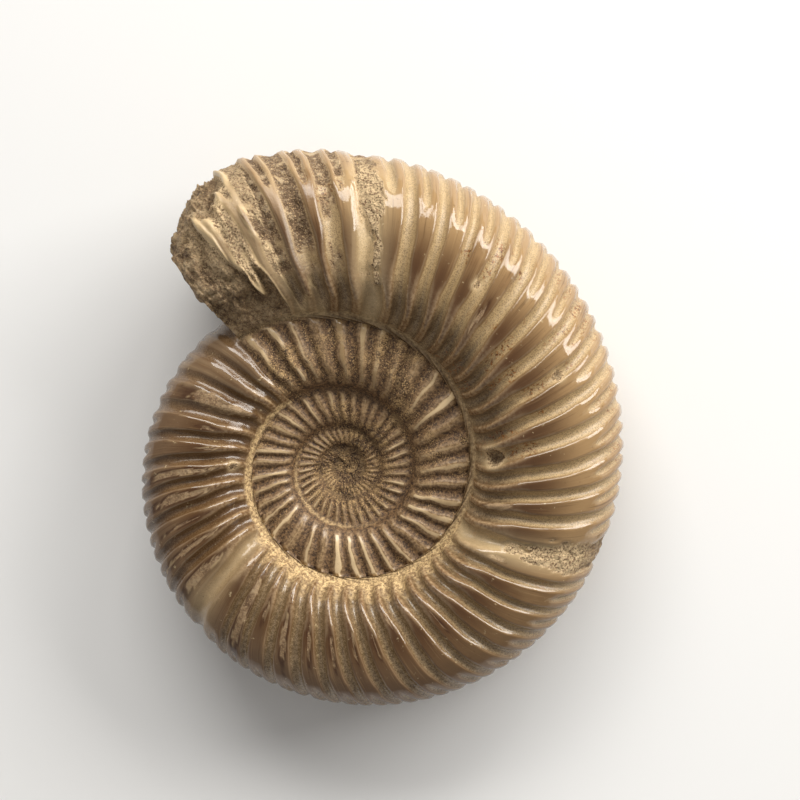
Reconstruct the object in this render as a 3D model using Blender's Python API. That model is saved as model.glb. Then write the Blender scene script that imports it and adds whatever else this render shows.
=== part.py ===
"""A polished ammonite fossil, lying on its side: an open coil of three ribbed turns.

The fossil is one solid. Its skin is drawn as rows of points that run along the ribs, four rows
to a rib, from the hub outwards. A turn lies against the turn inside it along a seam, so an inner
turn shows only its two flanks, and the outermost turn goes from flank to flank over its back.
Fans close the hub on both sides, and a rounded lump of rock closes the broken mouth.

Angles are degrees round the coil's axis, counterclockwise seen from above, and the shell grows
with the angle. Lengths are metres. The underside mirrors the top.
"""

import math

import bmesh
import bpy
import numpy as np
from mathutils import Matrix, Vector, noise

NAME = "ammonite"
MM = 0.001
TURN = 360.0

# The coil. Each length is given where the outermost turn begins, with how many times larger it
# is one turn later.
MOUTH = 488.0
START = MOUTH - TURN
SEAM_RADIUS = 14.7 * MM
SEAM_GROWTH = 1.925
BACK_RADIUS = 32.9 * MM
BACK_GROWTH = 1.752
HALF_WIDTH = 9.45 * MM
WIDTH_GROWTH = 1.8

# The cross-section of a turn: where between seam and back it is thickest, and how square its
# outer part and its inner wall are, as powers of a superellipse.
THICKEST_AT = 0.36
FLANK_POWER = 2.5
WALL_POWER = 2.1

# The angles where the ribs start at the seam, by rib number, from rib OLDEST_RIB on. Ribs older
# than RIBS_FROM are evenly spaced. Half-numbers are grooves. A rib swings forward by RIB_SWING
# degrees on its way to the back.
OLDEST_RIB = -118
RIBS_FROM = -38
RIB_ANGLES = (
    *(-995.2, -235.2, -225.4, -215.8, -205.9, -197.1, -188.1, -177.9, -169.4, -159.6, -151.6),
    *(-141.2, -128.9, -116.8, -107.4, -96.6, -86.7, -77.4, -67.7, -57.4, -48.0, -38.3, -29.4),
    *(-20.0, -10.9, -2.0, 8.6, 19.4, 28.7, 39.8, 49.5, 58.6, 67.4, 75.8, 85.2, 94.5, 103.3),
    *(110.6, 119.0, START, 136.7, 147.2, 158.0, 167.2, 175.9, 185.0, 194.0, 202.6, 211.3),
    *(224.9, 231.3, 238.8, 247.4, 255.7, 263.6, 270.9, 278.1, 285.7, 293.5, 300.9, 308.4),
    *(315.2, 322.1, 329.2, 339.2, 346.7, 353.1, 360.3, 368.2, 375.6, 382.6, 389.5, 396.4),
    *(403.7, 410.8, 417.4, 424.4, 431.5, 442.3, 449.7, 457.2, 464.9, 472.6, 480.3, MOUTH),
)
RIB_NUMBERS = (OLDEST_RIB, *range(RIBS_FROM, RIBS_FROM + len(RIB_ANGLES) - 1))
RIB_SWING = 11.0
SWING_POWER = 1.3
# On the outermost turn the rows of points swing with the ribs, except near the turn's ends.
ROWS_STRAIGHTEN = 25.0
RIB_HEIGHT = 1.3 * MM
BACK_RIB_HEIGHT = 0.9 * MM
FORK_AT = 0.72
FORK_LENGTH = 0.2
SEAM_FADE = 0.14

# Constrictions, the wide grooves that the growing shell left, by rib number.
CONSTRICTIONS = (9.5, 24.5, 38.5)
CONSTRICTION_DEPTH = 0.9 * MM
CONSTRICTION_WIDTH = 0.3

# The broken mouth: from WORN_FROM on its outer corner is worn down by up to CORNER_DROP and the
# turn narrows by the share MOUTH_NARROWING, then rough rock bulges out by ROCK_BULGE degrees.
WORN_FROM = 469.0
WEAR_POWER = 2.0
CORNER_DROP = 8.0 * MM
MOUTH_NARROWING = 0.16
ROCK_BULGE = 1.0
ROCK_RINGS = 2
ROCK_ROUGHNESS = 1.6 * MM
ROCK_LUMP = 7.0 * MM

# How the fossil rests: the coil's axis leans by REST_TILT degrees towards the compass direction
# REST_TOWARD, and the ribs that carry it are ground flat, up to REST_FLAT deep.
REST_TILT = 3.4
REST_TOWARD = 290.0
REST_FLAT = 0.4 * MM

# How finely the skin is drawn: rows to a rib, spans across a flank and over the back.
ROWS_PER_RIB = 4
FLANK_SPANS = 4
BACK_SPANS = 6
HUB_HEIGHT = 0.9 * MM
HUB_OFFSET = 0.9 * MM

SHELL_BROWN = (0.36, 0.25, 0.13, 1.0)
SHELL_ROUGHNESS = 0.32


def clear_scene():
    for obj in list(bpy.data.objects):
        bpy.data.objects.remove(obj, do_unlink=True)


def smooth_step(low, high, value):
    share = np.clip((value - low) / (high - low), 0.0, 1.0)
    return share * share * (3.0 - 2.0 * share)


def grown(at_start, growth, angle):
    """A length that grows by the same factor with every turn."""
    return at_start * growth ** ((angle - START) / TURN)


def seam_radius(angle):
    return grown(SEAM_RADIUS, SEAM_GROWTH, angle)


def back_radius(angle):
    return grown(BACK_RADIUS, BACK_GROWTH, angle)


def half_width(angle):
    return grown(HALF_WIDTH, WIDTH_GROWTH, angle)


def thickest_radius(angle):
    return seam_radius(angle) + THICKEST_AT * (back_radius(angle) - seam_radius(angle))


def covered_turning(angle):
    """The turning angle, round a section from its back, where the next turn's seam lies."""
    middle = thickest_radius(angle)
    share = (seam_radius(angle + TURN) - middle) / (back_radius(angle) - middle)
    return np.arccos(share ** (FLANK_POWER / 2.0))


def seam_turning(angle):
    """The turning angle of a section's own seam, which lies on the flank of the turn inside."""
    inside = angle - TURN
    height = half_width(inside) * np.sin(covered_turning(inside)) ** (2.0 / FLANK_POWER)
    return math.pi - np.arcsin((height / half_width(angle)) ** (WALL_POWER / 2.0))


def section(angle, turning):
    """A section's points and the directions they face, as radius and height.

    The turning angle is 0 in the middle of the back, a quarter turn where the section is
    thickest, and negative below the middle plane. The outer part and the inner wall are quarter
    superellipses that meet at the thickest point.
    """
    middle = thickest_radius(angle)
    wall_share = np.abs(np.cos(seam_turning(angle))) ** (2.0 / WALL_POWER)
    wall_reach = (seam_radius(angle) - middle) / wall_share
    side = np.sign(turning)
    turning = np.abs(turning)
    outer = turning < math.pi / 2
    power = np.where(outer, FLANK_POWER, WALL_POWER)
    reach = np.where(outer, back_radius(angle) - middle, wall_reach)
    across = np.abs(np.cos(turning)) ** (2.0 / power)
    rise = side * np.sin(turning) ** (2.0 / power)
    outward = across ** (power - 1.0) / reach
    upward = side * np.abs(rise) ** (power - 1.0) / half_width(angle)
    size = np.hypot(outward, upward)
    return middle + reach * across, half_width(angle) * rise, outward / size, upward / size


def groove_depth(angle, rib, share):
    """How far the skin lies below the rib crests, at a share of the way from seam to back."""
    fork = smooth_step(FORK_AT - FORK_LENGTH / 2, FORK_AT + FORK_LENGTH / 2, share)
    single = RIB_HEIGHT * (1.0 - np.cos(2 * math.pi * rib)) / 2
    double = BACK_RIB_HEIGHT * (1.0 + np.cos(4 * math.pi * rib)) / 2
    depth = (1.0 - fork) * single + fork * double
    for constriction in CONSTRICTIONS:
        away = (rib - constriction) / CONSTRICTION_WIDTH
        depth += CONSTRICTION_DEPTH * np.exp(-(away**2))
    size = half_width(angle) / half_width(MOUTH)
    return depth * size * smooth_step(0.0, SEAM_FADE, share)


def rows_follow(row_angle):
    """How closely an outermost row follows the ribs: 1, falling to 0 at the turn's ends."""
    return smooth_step(0.0, ROWS_STRAIGHTEN, min(row_angle - START, MOUTH - row_angle))


def skin_row(row_angle, turnings, outermost):
    """The points of one row, at the given turning angles, as an array of (x, y, z)."""
    from_seam = np.clip(1.0 - np.abs(turnings) / seam_turning(row_angle), 0.0, 1.0)
    swing = RIB_SWING * from_seam**SWING_POWER
    follow = rows_follow(row_angle) if outermost else 0.0
    angle = row_angle + follow * swing
    radius, height, outward, upward = section(angle, turnings)
    seam = seam_radius(angle)
    share = (radius - seam) / (back_radius(angle) - seam)
    depth = groove_depth(angle, np.interp(angle - swing, RIB_ANGLES, RIB_NUMBERS), share)
    if not outermost:
        depth *= smooth_step(0.0, SEAM_FADE, (seam_radius(angle + TURN) - radius) / seam)
    wear = np.clip((angle - WORN_FROM) / (MOUTH - WORN_FROM), 0.0, 1.0) ** WEAR_POWER
    radius = radius - depth * outward - CORNER_DROP * wear * share**2
    height = (height - depth * upward) * (1.0 - MOUTH_NARROWING * wear)
    turned = np.radians(angle)
    return np.stack((radius * np.cos(turned), radius * np.sin(turned), height), axis=1)


def row_angles():
    """The rows of the outermost turn, evenly spaced in rib number."""
    first = np.interp(START, RIB_ANGLES, RIB_NUMBERS)
    last = np.interp(MOUTH, RIB_ANGLES, RIB_NUMBERS)
    spans = round((last - first) * ROWS_PER_RIB)
    return np.interp(np.linspace(first, last, spans + 1), RIB_NUMBERS, RIB_ANGLES)


def flank_turnings(angle):
    return np.linspace(seam_turning(angle), covered_turning(angle), FLANK_SPANS + 1)


def add_points(mesh, places):
    return [mesh.verts.new(place) for place in places]


def ribbon(mesh, left, right):
    """Quads between two rows of as many points."""
    for a, b, c, d in zip(left, left[1:], right, right[1:]):
        mesh.faces.new((a, b, d, c))


def taper(mesh, few, many):
    """Triangles between one span and the two spans of a finer row beside it."""
    a, b = few
    c, d, e = many
    for corners in ((a, c, d), (a, d, b), (b, d, e)):
        mesh.faces.new(corners)


def fan(mesh, centre, loop):
    for here, there in zip(loop, loop[1:] + loop[:1]):
        mesh.faces.new((centre, here, there))


def flank(mesh, angles, turn_rows, side):
    """The points of one side's flank in all three turns, row by row from seam to next seam.

    The innermost turn has points of its own in every second row only. The next seam's point of a
    row is the first point of the row one turn further on, as long as there is such a row.
    """
    mirror = np.array((1.0, 1.0, side))
    rows = []
    for index, angle in enumerate(angles):
        own = []
        if index >= turn_rows or index % 2 == 0:
            outermost = index > 2 * turn_rows
            places = skin_row(angle, flank_turnings(angle), outermost) * mirror
            own = add_points(mesh, places if outermost else places[:-1])
        rows.append(own)
    for index in range(2 * turn_rows + 1):
        rows[index].append(rows[index + turn_rows][0])
    return rows


def flank_faces(mesh, rows, turn_rows):
    for left, right in zip(rows[turn_rows : 2 * turn_rows], rows[turn_rows + 1 :]):
        ribbon(mesh, left, right)
    for index in range(0, turn_rows, 2):
        left, middle, right = rows[index : index + 3]
        ribbon(mesh, left[:-1], right[:-1])
        taper(mesh, (left[-2], right[-2]), (left[-1], middle[-1], right[-1]))


def hub(mesh, rows, turn_rows, side):
    """Closes the hub: a fan from a point beside the axis, on the near side of the first row."""
    loop = [row[0] for row in rows[: turn_rows + 1 : 2]] + rows[0][-2:0:-1]
    beside = math.radians(START - 90.0)
    place = (HUB_OFFSET * math.cos(beside), HUB_OFFSET * math.sin(beside), side * HUB_HEIGHT)
    fan(mesh, mesh.verts.new(place), loop)


def rock_point(centre, rim, rounding):
    """A point of the rock: the rim's point drawn in towards the centre and moved forwards."""
    place = centre + (rim - centre) * math.cos(rounding)
    lump = noise.noise(place / ROCK_LUMP) * ROCK_ROUGHNESS * math.sin(rounding)
    forward = ROCK_BULGE * math.sin(rounding) + math.degrees(lump / place.length)
    return Matrix.Rotation(math.radians(forward), 3, "Z") @ place


def mouth(mesh, rim):
    """Rounded, lumpy rock over the open mouth: shrinking rings, then a fan."""
    centre = sum((vert.co for vert in rim), Vector()) / len(rim)
    ring = rim
    for step in range(1, ROCK_RINGS + 1):
        rounding = math.pi / 2 * step / (ROCK_RINGS + 1)
        following = add_points(mesh, [rock_point(centre, vert.co, rounding) for vert in rim])
        ribbon(mesh, ring + ring[:1], following + following[:1])
        ring = following
    fan(mesh, mesh.verts.new(rock_point(centre, centre, math.pi / 2)), ring)


def coil(mesh):
    """The whole skin, closed, with the coil's axis upright at the origin."""
    turn = row_angles()
    spans = len(turn) - 1
    angles = np.concatenate((turn - 2 * TURN, turn[1:] - TURN, turn[1:]))
    upper = flank(mesh, angles, spans, 1.0)
    lower = flank(mesh, angles, spans, -1.0)
    backs = []
    for angle in turn:
        covered = covered_turning(angle)
        turnings = np.linspace(covered, -covered, BACK_SPANS + 1)[1:-1]
        backs.append(add_points(mesh, skin_row(angle, turnings, True)))
    for rows, side in ((upper, 1.0), (lower, -1.0)):
        flank_faces(mesh, rows, spans)
        hub(mesh, rows, spans, side)
    outer = zip(upper[2 * spans :], backs, lower[2 * spans :])
    around = [top + back + low[::-1] for top, back, low in outer]
    for left, right in zip(around, around[1:]):
        ribbon(mesh, left, right)
    mouth(mesh, around[-1] + backs[0][::-1])


def lay_down(mesh):
    """Leans the coil into its resting pose, grinds the ribs it rests on flat and centres it."""
    towards = Matrix.Rotation(math.radians(REST_TOWARD), 4, "Z")
    lean = Matrix.Rotation(math.radians(REST_TILT), 4, towards @ Vector((0.0, 1.0, 0.0)))
    bmesh.ops.transform(mesh, matrix=lean, verts=mesh.verts)
    floor = Vector((0.0, 0.0, min(vert.co.z for vert in mesh.verts) + REST_FLAT))
    skin = mesh.verts[:] + mesh.edges[:] + mesh.faces[:]
    down = Vector((0.0, 0.0, -1.0))
    bmesh.ops.bisect_plane(mesh, geom=skin, plane_co=floor, plane_no=down, clear_outer=True)
    rims = [edge for edge in mesh.edges if edge.is_boundary]
    bmesh.ops.holes_fill(mesh, edges=rims, sides=0)
    places = np.array([vert.co for vert in mesh.verts])
    middle = (places.min(axis=0) + places.max(axis=0)) / 2
    lift = Vector((-middle[0], -middle[1], -floor.z))
    bmesh.ops.translate(mesh, vec=lift, verts=mesh.verts)
    print("the coil's centre is at", *(round(value / MM, 2) for value in lift), "mm")


def shell_material():
    material = bpy.data.materials.new("polished_shell")
    material.use_nodes = True
    shader = material.node_tree.nodes["Principled BSDF"]
    shader.inputs["Base Color"].default_value = SHELL_BROWN
    shader.inputs["Roughness"].default_value = SHELL_ROUGHNESS
    shader.inputs["Metallic"].default_value = 0.0
    material.diffuse_color = SHELL_BROWN
    return material


def main():
    clear_scene()
    mesh = bmesh.new()
    coil(mesh)
    bmesh.ops.recalc_face_normals(mesh, faces=mesh.faces[:])
    lay_down(mesh)
    bmesh.ops.triangulate(mesh, faces=mesh.faces[:])
    data = bpy.data.meshes.new(NAME)
    mesh.to_mesh(data)
    mesh.free()
    data.shade_smooth()
    data.materials.append(shell_material())
    fossil = bpy.data.objects.new(NAME, data)
    bpy.context.scene.collection.objects.link(fossil)
    size = [round(side / MM, 1) for side in fossil.dimensions]
    print(NAME, "has", len(data.polygons), "triangles and measures", size, "mm")


main()
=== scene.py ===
# %% [markdown]
# # A polished ammonite
#
# An ammonite shell is a tube that winds round one axis and widens by the same factor with every
# turn. Here a cross-section is carried along a spiral, and ribs, grooves and chips are a depth
# below the smooth outline. It could be sculpted, or made from one rib and an array, but a formula
# gives every rib its own size and lets neighbouring turns share their seam.
#
# Angles are degrees round the coil's axis, counterclockwise from above. Lengths are metres.

# %% Load the frame
import math
from types import SimpleNamespace

import bmesh
import bpy
import numpy as np
from mathutils import Matrix, Vector


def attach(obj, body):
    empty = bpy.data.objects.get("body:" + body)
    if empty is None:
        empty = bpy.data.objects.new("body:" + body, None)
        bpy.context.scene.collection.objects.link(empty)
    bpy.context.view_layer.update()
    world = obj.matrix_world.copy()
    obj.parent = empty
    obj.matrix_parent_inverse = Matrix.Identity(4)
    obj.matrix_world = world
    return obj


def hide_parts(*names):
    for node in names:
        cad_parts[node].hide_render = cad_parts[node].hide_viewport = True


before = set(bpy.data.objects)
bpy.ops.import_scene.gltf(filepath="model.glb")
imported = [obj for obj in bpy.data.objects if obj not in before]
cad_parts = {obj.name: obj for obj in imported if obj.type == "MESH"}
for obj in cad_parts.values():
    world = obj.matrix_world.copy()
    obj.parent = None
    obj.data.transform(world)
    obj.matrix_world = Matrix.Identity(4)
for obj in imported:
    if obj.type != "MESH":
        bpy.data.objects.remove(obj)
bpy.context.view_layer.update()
MM = 0.001


def in_mm(values, digits=1):
    return [round(value / MM, digits) for value in values]


def added(name, data):
    """A new object in the scene."""
    made = bpy.data.objects.new(name, data)
    bpy.context.scene.collection.objects.link(made)
    return made


# %% [markdown]
# ## The coil
#
# Three lengths describe the tube: the radius of its seam with the turn inside it, the radius of
# its back, and half its thickness. Each grows by its own fixed factor per turn.

# %% Coil dimensions
TURN = 360.0
MOUTH = 488.0
START = MOUTH - TURN
SEAM_RADIUS = 14.7 * MM
SEAM_GROWTH = 1.925
BACK_RADIUS = 32.9 * MM
BACK_GROWTH = 1.752
HALF_WIDTH = 9.33 * MM
WIDTH_GROWTH = 1.8
THICKEST_AT = 0.36
FLANK_POWER = 2.5
WALL_POWER = 2.1


def grown(at_start, growth, angle):
    """A length at an angle: its start value times growth to the power of turns since the start."""
    return at_start * growth ** ((angle - START) / TURN)


def seam_radius(angle):
    return grown(SEAM_RADIUS, SEAM_GROWTH, angle)


def back_radius(angle):
    return grown(BACK_RADIUS, BACK_GROWTH, angle)


def half_width(angle):
    return grown(HALF_WIDTH, WIDTH_GROWTH, angle)


def thickest_radius(angle):
    return seam_radius(angle) + THICKEST_AT * (back_radius(angle) - seam_radius(angle))


print("the back grows to, in mm:", in_mm((back_radius(START), back_radius(MOUTH))))

# %% [markdown]
# ## The cross-section
#
# A slice is thickest a third of the way out, with a steep wall to the seam and a gentler flank to
# the back. Two quarter superellipses give that: at a turning angle t, the reach is multiplied by
# |cos t| and the height by |sin t|, both raised to 2 over a power.


# %% Cross-section
def covered_turning(angle):
    """Turning angle of the line that the next turn's seam follows: the flank's arc cosine there."""
    middle = thickest_radius(angle)
    share = (seam_radius(angle + TURN) - middle) / (back_radius(angle) - middle)
    return np.arccos(share ** (FLANK_POWER / 2.0))


def seam_turning(angle):
    """Turning angle of a slice's own seam, whose height is that of the flank inside it."""
    inside = angle - TURN
    height = half_width(inside) * np.sin(covered_turning(inside)) ** (2.0 / FLANK_POWER)
    return math.pi - np.arcsin((height / half_width(angle)) ** (WALL_POWER / 2.0))


def section(angle, turning):
    """Radius, height and facing of a slice's points: the superellipse and its gradient."""
    middle = thickest_radius(angle)
    wall_share = np.abs(np.cos(seam_turning(angle))) ** (2.0 / WALL_POWER)
    wall_reach = (seam_radius(angle) - middle) / wall_share
    outer = turning < math.pi / 2
    power = np.where(outer, FLANK_POWER, WALL_POWER)
    reach = np.where(outer, back_radius(angle) - middle, wall_reach)
    across = np.abs(np.cos(turning)) ** (2.0 / power)
    rise = np.abs(np.sin(turning)) ** (2.0 / power)
    outward = across ** (power - 1.0) / reach
    upward = rise ** (power - 1.0) / half_width(angle)
    size = np.hypot(outward, upward)
    return middle + reach * across, half_width(angle) * rise, outward / size, upward / size


print("the seam's turning angle:", np.degrees(seam_turning(START)).round())

# %% [markdown]
# ## Chance that repeats
#
# Ribs and broken stone are irregular, but the fossil has to come out the same each time. A hash
# turns whole numbers into numbers that look random and never change. Three curves go with it.

# %% Repeatable chance
HASH_PRIMES = (73856093, 19349663, 83492791)
HASH_MIX = 73244475
SEED_STEP = 40503
SEED_START = 977
LOW_32_BITS = np.int64(0xFFFFFFFF)
LOW_24_BITS = 0xFFFFFF


def hashed(x, y=0, z=0, seed=0):
    """A number from 0 to 1 for each triple of whole numbers, by multiplying, mixing and masking."""
    x, y, z = (np.asarray(value, np.int64) * prime for value, prime in zip((x, y, z), HASH_PRIMES))
    mixed = (x ^ y ^ z ^ np.int64(seed * SEED_STEP + SEED_START)) & LOW_32_BITS
    mixed = (mixed ^ (mixed >> 15)) * HASH_MIX & LOW_32_BITS
    mixed = (mixed ^ (mixed >> 13)) * HASH_MIX & LOW_32_BITS
    return ((mixed ^ (mixed >> 16)) & LOW_24_BITS) / float(LOW_24_BITS)


def ramp(low, high, value):
    """0 below low, 1 above high, and 3s squared minus 2s cubed of the share s between."""
    share = np.clip((value - low) / (high - low), 0.0, 1.0)
    return share * share * (3.0 - 2.0 * share)


def bell(distance, width):
    """e to the minus square of the distance over the width."""
    return np.exp(-((distance / width) ** 2))


def hill(share):
    """4 times the share times 1 minus the share, which is 1 at a half."""
    return 4.0 * share * (1.0 - share)


print("four hashed numbers:", np.round(hashed(np.arange(4)), 3))

# %% [markdown]
# ## Lumps
#
# Blending the hashed corners of a grid of cubes gives smooth lumps of any size. Adding smaller
# lumps to larger ones gives broken stone, and folding the lumps at 0 gives sharp creases.


# %% Noise
def lumps(places, size, seed):
    """Value noise from -1 to 1: the hashed corners of each point's cube, blended smoothly."""
    scaled = places / size
    cell = np.floor(scaled).astype(np.int64)
    part = scaled - cell
    part = part * part * (3.0 - 2.0 * part)
    total = np.zeros(places.shape[:-1])
    for corner in range(8):
        step = np.array((corner & 1, corner >> 1 & 1, corner >> 2 & 1))
        weight = np.prod(np.where(step == 1, part, 1.0 - part), axis=-1)
        total += weight * hashed(*np.moveaxis(cell + step, -1, 0), seed)
    return 2.0 * total - 1.0


def rough(places, size, seed, octaves=3):
    """Broken-stone noise: lumps of a size, plus lumps half as large and half as high, and so on."""
    layers = [lumps(places, size / 2**k, seed + k) / 2**k for k in range(octaves)]
    return sum(layers) / (2.0 - 0.5 ** (octaves - 1))


def ridges(places, size, seed, octaves=5, finer=1.9, lower=0.7, usual_height=0.6):
    """Folded noise, 0 to 1: the distances of lumps from 0, whose creases are sharp, added up."""
    heights = [lower**k for k in range(octaves)]
    layers = [np.abs(lumps(places, size / finer**k, seed + k)) * heights[k] for k in range(octaves)]
    return sum(layers) / sum(usual_height * height for height in heights)


print("noise at one point:", rough(np.full((1, 3), 0.5), 1.0, 1).round(3))

# %% [markdown]
# ## Rib lines
#
# Every point gets a rib number, whole on a rib's middle and half in a groove. Real ribs aren't
# evenly spaced, so a table gives the angle where each leaves the seam. From a short hook there a
# rib swings forward, and levels out on the back, to meet its mirror image without a kink.

# %% Rib spacing and swing
OLDEST_RIB = -118
RIBS_FROM = -38
RIB_ANGLES = (
    *(-995.2, -235.2, -225.4, -215.8, -205.9, -197.1, -188.1, -177.9, -169.4, -159.6, -151.6),
    *(-141.2, -128.9, -116.8, -107.4, -96.6, -86.7, -77.4, -67.7, -57.4, -48.0, -38.3, -29.4),
    *(-20.0, -10.9, -2.0, 8.6, 19.4, 28.7, 39.8, 49.5, 58.6, 67.4, 75.8, 85.2, 94.5, 103.3),
    *(110.6, 119.0, START, 136.7, 147.2, 158.0, 167.2, 175.9, 185.0, 194.0, 202.6, 211.3),
    *(224.9, 231.3, 238.8, 247.4, 255.7, 263.6, 270.9, 278.1, 285.7, 293.5, 300.9, 308.4),
    *(315.2, 322.1, 329.2, 339.2, 346.7, 353.1, 360.3, 368.2, 375.6, 382.6, 389.5, 396.4),
    *(403.7, 410.8, 417.4, 424.4, 431.5, 442.3, 449.7, 457.2, 464.9, 472.6, 480.3, MOUTH),
)
RIB_NUMBERS = (OLDEST_RIB, *range(RIBS_FROM, RIBS_FROM + len(RIB_ANGLES) - 1))
RIB_SWING = 11.0
SWING_POWER = 1.3
LEVELS_FROM = 0.88
SEAM_HOOK = 2.5
HOOK_REACH = 0.2


def carried(from_seam):
    """Degrees that a rib is carried forward: a power of the way, which levels out on the back."""
    level = np.clip(from_seam - LEVELS_FROM, 0.0, 1.0) ** 2 / (2.0 - 2.0 * LEVELS_FROM)
    return RIB_SWING * (from_seam - level) ** SWING_POWER


def swing(from_seam):
    """Degrees that a rib has swung: how far it is carried, and a short hook near the seam."""
    return carried(from_seam) + SEAM_HOOK * np.clip(1.0 - from_seam / HOOK_REACH, 0.0, 1.0) ** 2


def rib_number(seam_angle):
    return np.interp(seam_angle, RIB_ANGLES, RIB_NUMBERS)


print("outermost rib spacings:", rib_number(MOUTH) - rib_number(START))

# %% [markdown]
# ## Groove profiles
#
# Polish has ground the rib tops flat, and each groove is a trough below them with rounded
# shoulders, which catch the light. Where no polish reached, a cosine gives rounded ribs. Tables
# give widths and depths at a few shares of the way from seam to back.

# %% Groove profiles
GROOVE_DEPTH = 1.8 * MM
DEPTHS = ((0.0, 0.0), (0.04, 0.45), (0.1, 0.95), (0.3, 1.0), (0.5, 0.8), (0.75, 0.65), (1.0, 0.5))
HALF_WIDTHS = ((0.0, 0.43), (0.12, 0.42), (0.25, 0.36), (0.45, 0.29), (0.7, 0.22), (1.0, 0.17))
SHOULDER = 1.4
RIB_SHARPNESS = 0.9


def from_table(value, stations):
    """A table's value, straight between its stations."""
    return np.interp(value, *zip(*stations))


def trough(distance, half_wide, power=SHOULDER):
    """1 minus the square of distance over half width, to a power, and 0 outside the trough."""
    return np.clip(1.0 - (distance / half_wide) ** 2, 0.0, 1.0) ** power


def rounded(number):
    """0 on a rib and 1 halfway to the next: a cosine, to a power below 1 that sharpens the ribs."""
    return (0.5 - 0.5 * np.cos(2.0 * math.pi * number)) ** RIB_SHARPNESS


def from_crest(number):
    """How far a rib number is from the nearest whole one, from -0.5 to 0.5."""
    return number - np.floor(number + 0.5)


print("groove depth in mm:", GROOVE_DEPTH / MM)

# %% [markdown]
# ## Grooves and forks of the outermost turn
#
# Ribs fork: a second trough starts as a round tongue in the rib's top. Its outline is sharp, but
# it gets deep slowly, because the polish has nearly reached its floor. So a point gets two values,
# how much it is groove and how deep.

# %% Outermost grooves
FORK_BY_RIB = (
    *((0.0, 0.86), (24.0, 0.83), (28.0, 0.77), (33.0, 0.71)),
    *((38.0, 0.73), (42.0, 0.70), (45.0, 0.74)),
)
FORK_SCATTER = 0.025
FORK_ASIDE = 0.08
FORK_HALF_WIDTH = 0.13
FORK_SHOULDER = 0.9
FORK_TIP = 0.1
FORK_RAMP = 0.75
NARROWEST = 0.88
WIDTH_SCATTER = 0.24
BROKEN_WIDENS = 0.55


def broken_grooves(number):
    """1 near the mouth, where the shell is gone from the grooves, and 0 elsewhere."""
    return ramp(38.1, 38.9, number) * ramp(44.6, 43.8, number)


def main_groove(number, share):
    """The groove between ribs: a cosine near the seam, which turns into a trough further out."""
    groove = np.floor(number) + 0.5
    scatter = NARROWEST + WIDTH_SCATTER * hashed(2 * groove, seed=3)
    wide = from_table(share, HALF_WIDTHS) * scatter
    wide = wide * (1.0 + BROKEN_WIDENS * broken_grooves(number))
    flat = ramp(0.12, 0.45, share)
    power = 1.5 - 0.7 * ramp(0.4, 0.7, share)
    return rounded(number) * (1.0 - flat) + trough(number - groove, wide, power) * flat


def fork(number, share):
    """The tongue in a rib's top: a trough that widens as a square root, and its slower depth."""
    crest = np.floor(number + 0.5)
    fork_at = from_table(crest, FORK_BY_RIB) + FORK_SCATTER * (2.0 * hashed(crest, seed=5) - 1.0)
    beyond = share - fork_at
    opened = ramp(0.0, FORK_TIP, beyond)
    aside = FORK_ASIDE * (hashed(crest, seed=7) - 0.5)
    half_wide = FORK_HALF_WIDTH * np.sqrt(opened) + 1e-6
    tongue = trough(number - crest - aside, half_wide, FORK_SHOULDER) * opened
    return tongue, tongue * ramp(0.0, FORK_RAMP * (1.0 - fork_at), beyond)


def outer_grooves(number, share):
    """How much it is groove, and how deep, 0 to 1: the larger of main groove and fork."""
    main = main_groove(number, share)
    tongue, cut = fork(number, share)
    return np.maximum(main, tongue), np.maximum(main, cut)


print("rib 30 forks at a share of", from_table(30.0, FORK_BY_RIB).round(2))

# %% [markdown]
# ## Grooves of the inner turns
#
# Their ribs are rounded, and each groove has its own depth.

# %% Inner grooves
INNER_DEPTH = 2.0 * MM
INNER_SHARPNESS = 1.4
SHALLOWEST = 0.75
DEPTH_SCATTER = 0.35
CREST_WEAR = 0.12


def inner_grooves(number):
    """Groove depth, 0 to 1: the cosine times each groove's own depth, and each crest's wear."""
    crest = np.floor(number + 0.5)
    groove = np.floor(number) + 0.5
    deep = SHALLOWEST + DEPTH_SCATTER * hashed(2 * groove, seed=9)
    lowered = CREST_WEAR * hashed(crest, seed=11) * trough(number - crest, 0.35)
    return rounded(number) ** INNER_SHARPNESS * deep + lowered


print("inner groove depth in mm:", INNER_DEPTH / MM)

# %% [markdown]
# ## Landmarks
#
# What catches the eye is listed in tables: constrictions, where the animal stopped growing and left
# a wide groove, islands, where the polish went through the old ribs' shell into stone, patches
# where shell came off, and chips.

# %% Constrictions
CONSTRICTIONS = (
    # rib number, depth as a share of a groove's, width in ribs
    (9.5, 0.25, 0.32),
    (24.35, 0.35, 0.42),
    (38.5, 0.3, 0.42),
)
CREAM_IN_CONSTRICTION = 2.2


def constriction(number):
    """The sum of the constrictions' bells, each times its depth."""
    return sum(depth * bell(number - at, wide) for at, depth, wide in CONSTRICTIONS)


def pale_shell(number, share):
    """How cream the shell is: the constrictions' bells, fading on the back."""
    return CREAM_IN_CONSTRICTION * constriction(number) * ramp(1.0, 0.8, share)


print("constrictions:", len(CONSTRICTIONS))

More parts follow.
